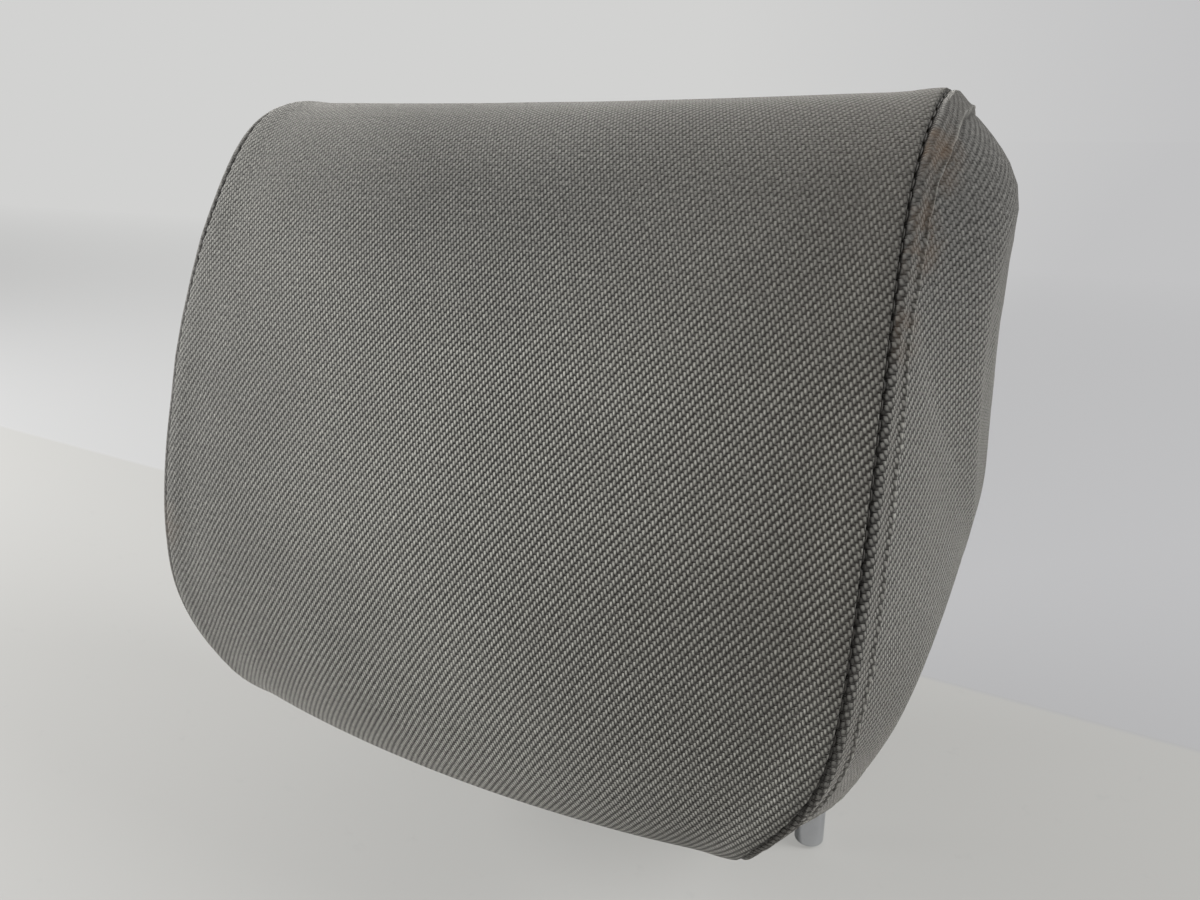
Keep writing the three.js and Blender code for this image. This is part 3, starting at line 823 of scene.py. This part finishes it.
def make_gusset(side):
    points, away, pole, normals = gussets[side]
    dents = stitch_dents(loop.run, DENT_SEEDS[side])[:, None]
    heights = -roll_off(away, STRIP_ROLL) - 0.08 * dents * bell(away, 0, 1.3)
    heights += strip_height(away) * strip_share(loop)[:, None] + gusset_swell[side]
    seam_normal = seam_normals[side][:, None]
    shift = side * CLEARANCE / 2
    outer = layer(points, normals, seam_normal, away, heights, shift)
    depths = np.broadcast_to(gusset_swell[side] - FABRIC, away.shape)
    inner = layer(points, normals, seam_normal, away, depths, shift)
    poles = np.array([pole, pole - (side * FABRIC, 0, 0)])
    # The cloth is laid out flat about the gusset's middle, and a little stretched both ways
    total = away[:, -1:] + np.linalg.norm(points[:, -1:] - pole, axis=-1)
    flat = np.stack([loop.y - MIDDLE_Y, loop.z - MIDDLE_Z], -1)
    flat = unit(flat)[:, None] * (total - away)[..., None]
    u = flat[..., 0] * math.cos(GRAIN_LEAN) - flat[..., 1] * math.sin(GRAIN_LEAN)
    v = flat[..., 0] * math.sin(GRAIN_LEAN) + flat[..., 1] * math.cos(GRAIN_LEAN)
    cloth = np.stack([u / 0.95, v / 0.97, away], -1)
    return cover_object(
        f"gusset_cover_{SIDES[side]}", outer, inner, (poles, (0, 0, 60)), True, side < 0, cloth,
        gusset_cloth)


def open_for_posts(thing, poles):
    """Takes the cover away round both posts, under the bezels, and closes the cut edge.

    The outer sheet's vertices come first, then the inner sheet's, then the poles."""
    mesh = thing.data
    count = len(mesh.vertices)
    co = np.empty(count * 3)
    mesh.vertices.foreach_get("co", co)
    co = co.reshape(-1, 3)
    near = np.zeros(count, bool)
    for side in SIDES:
        gap = np.hypot(co[:, 0] - side * POST_X * MM, co[:, 1])
        near |= (gap < POST_OPENING * MM) & (co[:, 2] < OPENING_TOP * MM)
    if not near.any():
        return
    half = (count - poles) // 2
    edges = {}
    keep = []
    for face in mesh.polygons:
        corners = tuple(face.vertices)
        if all(near[c % half] and c < 2 * half for c in corners):
            for a, b in zip(corners, corners[1:] + corners[:1]):
                edges[a, b] = True
        else:
            keep.append(corners)
    # The cut edge on the outer sheet: the removed faces' edges that no other one shares
    rim = [(a, b) for a, b in edges if (b, a) not in edges and a < half and b < half]
    faces = keep + [(a, b, b + half, a + half) for a, b in rim]
    used = np.zeros(count, bool)
    for face in faces:
        used[list(face)] = True
    fresh_index = np.cumsum(used) - 1
    cloth = np.empty(count * 3, np.float32)
    mesh.attributes["cloth"].data.foreach_get("vector", cloth)
    fresh = bpy.data.meshes.new(thing.name)
    fresh.from_pydata(
        co[used].tolist(), [], [tuple(int(fresh_index[c]) for c in face) for face in faces])
    fresh.update()
    set_cloth(fresh, cloth.reshape(-1, 3)[used])
    for item in mesh.materials:
        fresh.materials.append(item)
    thing.data = fresh
    bpy.data.meshes.remove(mesh)
    for face in fresh.polygons:
        face.use_smooth = True


def swell(name, outer, skipped, held, pole=None, closed=False):
    """How far each point of a sheet of cloth moves out when the foam presses on it.

    A coarser copy of the sheet, a little inside its place and held along its seams, is
    simulated as cloth. What is found there is capped and spread over the finer sheet."""
    rows, columns = outer.shape[:2]
    pick_rows = np.arange(0, rows, SIM_ROW_STEP)
    if not closed:
        pick_rows = np.unique(np.r_[pick_rows, rows - 1])
    pick_columns = np.array([k for k in range(columns) if k not in skipped])
    rest = outer[pick_rows][:, pick_columns]
    out = normals_of(rest, closed, False)
    centre = np.array([0, MIDDLE_Y, MIDDLE_Z])
    if ((rest - centre) * out).sum() < 0:
        out = -out
    loose = smooth(held[pick_rows][:, pick_columns], 0, 14)
    start = rest - out * (SWELL_ROOM * loose)[..., None]
    count, across = start.shape[:2]
    vertices = start.reshape(-1, 3)
    faces = grid_faces(count, across, 0, closed)
    if pole is not None:
        vertices = np.concatenate([vertices, [pole - (np.sign(pole[0]) * SWELL_ROOM, 0, 0)]])
        last = count * across
        for i in range(count):
            j = (i + 1) % count
            faces.append((i * across + across - 1, j * across + across - 1, last))
    sheet = new_object(name, vertices, faces, [])
    # The pressure acts along the faces' normals
    normal = sheet.data.polygons[len(faces) // 2].normal
    middle = sheet.data.polygons[len(faces) // 2].center
    if normal.dot(middle - Vector(centre * MM)) < 0:
        sheet.data.flip_normals()
    group = sheet.vertex_groups.new(name="held")
    weights = (1 - smooth(held[pick_rows][:, pick_columns], 0.5, 4)).ravel()
    for index, weight in enumerate(weights):
        if weight > 0.01:
            group.add([index], float(weight), "REPLACE")
    step = sheet.modifiers.new("swell", "CLOTH")
    for key, value in CLOTH_SETTINGS.items():
        setattr(step.settings, key, value)
    step.settings.effector_weights.gravity = 0
    step.point_cache.frame_start = 1
    step.point_cache.frame_end = SIM_FRAMES
    for moment in range(1, SIM_FRAMES + 1):
        bpy.context.scene.frame_set(moment)
    graph = bpy.context.evaluated_depsgraph_get()
    result = sheet.evaluated_get(graph).to_mesh()
    found = np.empty(len(vertices) * 3)
    result.vertices.foreach_get("co", found)
    found = found.reshape(-1, 3)[:count * across].reshape(count, across, 3) / MM
    sheet.evaluated_get(graph).to_mesh_clear()
    bpy.data.objects.remove(sheet)
    bpy.context.scene.frame_set(1)
    moved = ((found - rest) * out).sum(-1)
    moved = np.clip(moved, -SINK_CAP, SWELL_CAP) * loose
    spread = np.stack([np.interp(np.arange(columns), pick_columns, row) for row in moved])
    if closed:
        pick_rows = np.r_[pick_rows, rows]
        spread = np.concatenate([spread, spread[:1]])
    return np.stack([
        np.interp(np.arange(rows), pick_rows, spread[:, k]) for k in range(columns)
    ], 1)


panel_swell = 0
gusset_swell = {-1: 0, 1: 0}
last = panel_inset.shape[1] - 1
skipped = PANEL_SKIPPED + tuple(last - k for k in PANEL_SKIPPED)
panel_swell = swell("panel_sheet", panel, skipped, panel_inset)
for side in SIDES:
    points, away, pole = gussets[side][:3]
    gusset_swell[side] = swell("gusset_sheet", points, GUSSET_SKIPPED, away, pole, True)


cover = make_panel()
left = make_gusset(-1)
right = make_gusset(1)
for piece, poles in ((cover, 0), (left, 2), (right, 2)):
    open_for_posts(piece, poles)
add("cover_panel", cover, "cover_fabric", "centre_panel")
add("gusset_cover_left", left, "cover_fabric", "gusset_left")
add("gusset_cover_right", right, "cover_fabric", "gusset_right")


def make_stitches(side):
    """Short stitches down in the seam, one between each two dents."""
    base = panel[:, -1 if side > 0 else 0]
    outward = seam_normals[side]
    dents = stitch_dents(loop.run, DENT_SEEDS[side])
    tops = [
        i for i in range(2, LOOP_STEPS - 2)
        if dents[i] < dents[i - 1] and dents[i] <= dents[i + 1]
    ]
    sides, rings, half_length = 8, 7, STITCH_PITCH * 0.36
    vertices, faces = [], []
    for i in tops:
        ahead = unit(base[i + 1] - base[i - 1])
        up = outward[i]
        across = np.cross(up, ahead)
        start = len(vertices)
        for k in range(rings):
            s = math.cos(math.pi * k / (rings - 1))
            thick = STITCH_RADIUS * math.sqrt(max(1 - s ** 4, 0.02))
            centre = base[i] + ahead * half_length * s - up * (0.62 + 0.35 * s * s)
            vertices += ring(centre, across, up, thick, sides)
        faces += bar_faces(rings, sides, start, False)
    name = f"seam_stitches_{SIDES[side]}"
    add(name, new_object(name, vertices, faces, [thread]), "cover_fabric")


for side in SIDES:
    make_stitches(side)


# The foam

def skin_object(name, offset, look):
    """The whole cushion as one closed body, moved along its normals by offset."""
    coarse = Loop(SKIN_STEPS)
    middle, inset = panel_base(coarse, [0, 2.5, 6, 12], 12)
    sheets = {}
    for side in SIDES:
        points, away, pole = gusset_base(coarse, side, [0, 2.5, 6, 12, 20], 12)
        sheets[side] = (points, normals_of(points, True, side < 0), pole)
    middle_normals = normals_of(middle, False, False)
    left_points, left_normals, left_pole = sheets[-1]
    right_points, right_normals, right_pole = sheets[1]
    seam_left = unit(middle_normals[:, 0] + left_normals[:, 0])
    seam_right = unit(middle_normals[:, -1] + right_normals[:, 0])
    grid = np.concatenate([
        left_points[:, :0:-1] + offset * left_normals[:, :0:-1],
        middle[:, :1] + offset * seam_left[:, None],
        middle[:, 1:-1] + offset * middle_normals[:, 1:-1],
        middle[:, -1:] + offset * seam_right[:, None],
        right_points[:, 1:] + offset * right_normals[:, 1:],
    ], 1)
    count, columns = grid.shape[:2]
    vertices = np.concatenate([
        grid.reshape(-1, 3),
        [left_pole + [-offset, 0, 0], right_pole + [offset, 0, 0]],
    ])
    faces = grid_faces(count, columns, 0, True, False)
    size = count * columns
    for i in range(count):
        j = (i + 1) % count
        faces.append((i * columns, j * columns, size))
        faces.append((j * columns + columns - 1, i * columns + columns - 1, size + 1))
    return new_object(name, vertices, faces, [look])


def tube(name, path, radius, sides, plane, look, chamfer=0.0):
    """A round bar along points in one plane, with flat or chamfered ends."""
    path = np.asarray(path, float)
    ahead = unit(np.gradient(path, axis=0))
    up = np.array(plane, float)
    across = np.cross(up, ahead)
    stops = [(path[i], across[i], radius) for i in range(len(path))]
    if chamfer:
        first, last = stops[0], stops[-1]
        stops[0] = (first[0] + ahead[0] * chamfer, first[1], radius)
        stops[-1] = (last[0] - ahead[-1] * chamfer, last[1], radius)
        stops.insert(0, (first[0], first[1], radius - chamfer))
        stops.append((last[0], last[1], radius - chamfer))
    vertices = []
    for centre, sideways, size in stops:
        vertices += ring(centre, sideways, up, size, sides)
    return new_object(name, vertices, bar_faces(len(stops), sides, 0, True), [look])


def rounded(corners, radius, steps):
    """A path through corners, with an arc in place of each one."""
    corners = [np.array(c, float) for c in corners]
    points = [corners[0]]
    for before, corner, after in zip(corners, corners[1:], corners[2:]):
        into, out = unit(corner - before), unit(after - corner)
        turn = math.acos(np.clip(into @ out, -1, 1))
        start = corner - into * radius * math.tan(turn / 2)
        inward = unit(out - into * (out @ into))
        for step in range(steps + 1):
            angle = turn * step / steps
            points.append(
                start + inward * radius * (1 - math.cos(angle)) + into * radius * math.sin(angle))
    points.append(corners[-1])
    return np.array(points)


def hoop_path():
    corners = [(-POST_X, 0), (-POST_X, HOOP_HEIGHT), (POST_X, HOOP_HEIGHT), (POST_X, 0)]
    return rounded([(x, 0, z) for x, z in corners], HOOP_BEND, 20)


def wire_path(height, growth=0.0):
    y = -(POST_DIAMETER + WIRE_DIAMETER) / 2 - CLEARANCE
    end = POST_X + WIRE_OVERHANG + growth
    shoulder = POST_X - WIRE_REST
    corners = [
        (-end, y), (-shoulder, y), (-shoulder + WIRE_REACH, y - WIRE_REACH),
        (shoulder - WIRE_REACH, y - WIRE_REACH), (shoulder, y), (end, y),
    ]
    return rounded([(a, b, height) for a, b in corners], WIRE_BEND, 10)


def turned(name, profile, centre_x, segments, look):
    """A closed profile of (radius, height) turned round a post."""
    vertices, faces = [], []
    for m in range(segments):
        angle = 2 * math.pi * m / segments
        for radius, height in profile:
            vertices.append((centre_x + radius * math.cos(angle), radius * math.sin(angle), height))
    size = len(profile)
    for m in range(segments):
        n = (m + 1) % segments
        for k in range(size):
            j = (k + 1) % size
            faces.append((m * size + k, n * size + k, n * size + j, m * size + j))
    return new_object(name, vertices, faces, [look])


def rod(name, radius, low, high, centre_x, look):
    path = [(centre_x, 0, low), (centre_x, 0, (low + high) / 2), (centre_x, 0, high)]
    return tube(name, path, radius, 48, (0, 1, 0), look)


def block(name, low, high, look):
    (x0, y0, z0), (x1, y1, z1) = low, high
    vertices = [(x, y, z) for x in (x0, x1) for y in (y0, y1) for z in (z0, z1)]
    faces = [(0, 1, 3, 2), (4, 6, 7, 5), (0, 4, 5, 1), (2, 3, 7, 6), (0, 2, 6, 4), (1, 5, 7, 3)]
    return new_object(name, vertices, faces, [look], False)


strip_low, strip_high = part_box("closure_strip_front")
rear_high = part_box("closure_strip_rear")[1]
bezel_low, sleeve_top = (corner.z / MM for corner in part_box("post_bezel_right"))

foam = skin_object("foam_body", -(FABRIC + FOAM_GAP), foam_paint)
channel = POST_DIAMETER / 2 + CLEARANCE
boolean(foam, tube("space", hoop_path(), channel, 40, (0, 1, 0), foam_paint))
for height in WIRE_HEIGHTS.values():
    path = wire_path(height, WIRE_CHANNEL)
    channel = WIRE_DIAMETER / 2 + WIRE_CHANNEL
    boolean(foam, tube("space", path, channel, 24, (0, 0, 1), foam_paint))
# The closure's groove runs down through the foam's underside
groove_low = (strip_low.x / MM - 2, strip_low.y / MM - 1, 10)
groove_high = (strip_high.x / MM + 2, rear_high.y / MM + 1, rear_high.z / MM + 3)
boolean(foam, block("space", groove_low, groove_high, foam_paint))
for side in SIDES:
    bore = BEZEL_BORE + BEZEL_WALL + CLEARANCE
    boolean(foam, rod("space", bore, 20, sleeve_top + CLEARANCE, side * POST_X, foam_paint))
shade(foam, 40)
add("foam_body", foam, "foam", "foam_core")


# The frame, wires and bezels

posts = tube("post_rod", hoop_path(), POST_DIAMETER / 2, 64, (0, 1, 0), chrome, POST_CHAMFER)
for height in NOTCH_HEIGHTS:
    surface = POST_DIAMETER / 2
    outline = [
        (surface - NOTCH_DEPTH, height + NOTCH_HEIGHT), (surface + 1, height + NOTCH_HEIGHT),
        (surface + 1, height - NOTCH_DEPTH - 1), (surface - NOTCH_DEPTH, height),
    ]
    corners = [(-POST_X + x, y, z) for y in (-7, 7) for x, z in outline]
    faces = [(0, 1, 2, 3), (7, 6, 5, 4)]
    faces += [(k, k + 4, (k + 1) % 4 + 4, (k + 1) % 4) for k in range(4)]
    boolean(posts, new_object("notch", corners, faces, [chrome], False))
shade(posts, 30)
add("post_rod", posts, "chrome_rod", "post_frame")

for place, height in WIRE_HEIGHTS.items():
    wire = tube("wire", wire_path(height), WIRE_DIAMETER / 2, 32, (0, 0, 1), steel, WIRE_CHAMFER)
    shade(wire, 40)
    add(f"{place}_wire", wire, "spring_wire", f"{place}_stiffener_wire")

for side, place in SIDES.items():
    rim = BEZEL_DIAMETER / 2
    # The flange is rounded over its whole thickness
    corner = BEZEL_FLANGE
    profile = [(BEZEL_BORE + BEZEL_CHAMFER, bezel_low), (rim - corner, bezel_low)]
    for step in range(1, 7):
        angle = math.pi / 2 * step / 6
        profile.append((
            rim - corner + corner * math.sin(angle), bezel_low + corner - corner * math.cos(angle)))
    profile += [
        (rim, sleeve_top), (BEZEL_BORE, sleeve_top), (BEZEL_BORE, bezel_low + BEZEL_CHAMFER)]
    bezel = turned("bezel", profile, side * POST_X, 96, plastic)
    boolean(bezel, skin_object("space", CLEARANCE, plastic))
    sleeve = [
        (BEZEL_BORE, bezel_low + corner), (BEZEL_BORE + BEZEL_WALL, bezel_low + corner),
        (BEZEL_BORE + BEZEL_WALL, sleeve_top), (BEZEL_BORE, sleeve_top),
    ]
    boolean(bezel, turned("sleeve", sleeve, side * POST_X, 96, plastic), "UNION")
    shade(bezel, 30)
    add(f"bezel_{place}", bezel, "black_plastic", f"post_bezel_{place}")

for name in ("closure_strip_front", "closure_strip_rear"):
    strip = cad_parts[name]
    strip.data.materials.clear()
    strip.data.materials.append(plastic)
    edges = strip.modifiers.new("edges", "BEVEL")
    edges.width = 0.22 * MM
    edges.segments = 2
    edges.limit_method = "ANGLE"


# Floor, light and camera

def to_the_right(n, x, y):
    """From 0 at the wall's left to 1 at its right, by the direction from the origin."""
    reach = n.calc("SQRT", n.plus(n.times(x, x), n.times(y, y)))
    return n.climb(n.calc("DIVIDE", x, reach), -0.35, 2.2)


def floor_material():
    """Pale floor: the camera sees its shadow softened, and a wall's colour beyond a line."""
    made, n, shader = material("floor_paint")
    place = n.coordinates()
    x, y, _ = n.separate(place)
    marks = n.noise(place, 5, 4)
    specks = n.climb(n.noise(place, 90, 5, 0.7), 0.62, 3.0)
    colour = n.mix(n.times(marks, 0.12), FLOOR, "#bfc2c4")
    colour = n.mix(n.times(specks, 0.3), colour, "#a5a6a6")
    beyond = n.minus(y, n.plus(WALL_LINE, n.times(x, WALL_SLOPE)))
    wall = n.times(beyond, 300, clamp=True)
    # The painted wall is darker towards its right: painted shade
    tone = n.mix(wall, colour, n.mix(to_the_right(n, x, y), WALL, WALL_RIGHT))
    n.fill(shader, {
        "Base Color": n.mix(1.0, tone, FLOOR_SHADE, "MULTIPLY"),
        "Roughness": n.plus(0.5, n.times(marks, 0.2)), "Specular IOR Level": 0.12,
    })
    # For the camera the floor glows in part with its own colour: painted light that softens its
    # shadow
    glow = n.fill(n.node("Emission"), {"Color": tone}).outputs["Emission"]
    share = n.plus(FLOOR_GLOW, n.times(wall, 0.12))
    share = n.plus(share, n.times(beyond, 0.35), clamp=True)
    share = n.calc("MAXIMUM", n.times(wall, share), FLOOR_GLOW)
    seen = n.node("LightPath").outputs["Is Camera Ray"]
    both = n.fill(n.node("MixShader"), {
        0: n.times(share, seen), 1: shader.outputs["BSDF"], 2: glow,
    })
    n.wire(both.outputs[0], n.tree.nodes["Material Output"].inputs["Surface"])
    return made


corners = [(-1, -1), (1, -1), (1, 1), (-1, 1)]
floor = new_object(
    "floor", [(x * FLOOR_REACH, y * FLOOR_REACH, -FLOOR_DROP) for x, y in corners],
    [(0, 1, 2, 3)], [floor_material()], False)

world = bpy.data.worlds.new("studio")
world.use_nodes = True
bpy.context.scene.world = world
n = Nodes(world.node_tree)
n.tree.nodes.clear()
direction = n.coordinates("Generated")
toward = n.vectors("DOT_PRODUCT", direction, Vector(DIM_SIDE).normalized())
fade = n.fill(n.node("MapRange", interpolation_type="SMOOTHSTEP"), {
    "Value": toward, "From Min": 0, "From Max": 0.9, "To Min": SKY, "To Max": SKY * DIM_SHARE,
}).outputs["Result"]
soft = n.fill(n.node("Background"), {"Color": (1, 1, 1, 1), "Strength": fade})
view_x, view_y, _ = n.separate(direction)
# The backdrop is darker towards the right: painted shade
wall = n.mix(to_the_right(n, view_x, view_y), WALL, WALL_RIGHT)
pale = n.fill(n.node("Background"), {"Color": wall, "Strength": 1.0})
pick = n.fill(n.node("MixShader"), {
    0: n.node("LightPath").outputs["Is Camera Ray"], 1: soft.outputs[0], 2: pale.outputs[0],
})
n.wire(pick.outputs[0], n.node("OutputWorld").inputs["Surface"])


def lamp(name, place, size, power):
    light = bpy.data.lights.new(name, "AREA")
    light.shape = "DISK"
    light.size = size
    light.energy = power
    thing = bpy.data.objects.new(name, light)
    thing.location = place
    aim = Vector(LAMP_TARGET) - Vector(place)
    thing.rotation_euler = aim.to_track_quat("-Z", "Y").to_euler()
    bpy.context.scene.collection.objects.link(thing)


lamp("window", (-1.15, -0.5, 0.55), 0.6, 33)
lamp("rim", (1.15, 0.25, 0.9), 0.7, 18)

scene = bpy.context.scene
scene.view_settings.view_transform = "Standard"

yaw, pitch, roll = (math.radians(angle) for angle in (CAMERA_YAW, CAMERA_PITCH, CAMERA_ROLL))
forward = Vector(
    (-math.sin(yaw) * math.cos(pitch), math.cos(yaw) * math.cos(pitch), -math.sin(pitch)))
level = Vector((math.cos(yaw), math.sin(yaw), 0))
above = level.cross(forward)
rightward = level * math.cos(roll) + above * math.sin(roll)
upward = above * math.cos(roll) - level * math.sin(roll)
data = bpy.data.cameras.new("camera")
data.sensor_width = SENSOR_WIDTH
data.lens = LENS
data.clip_start = 0.01
camera = bpy.data.objects.new("camera", data)
turn = Matrix((rightward, upward, -forward)).transposed()
camera.matrix_world = Matrix.Translation(CAMERA_PLACE) @ turn.to_4x4()
scene.collection.objects.link(camera)
scene.camera = camera
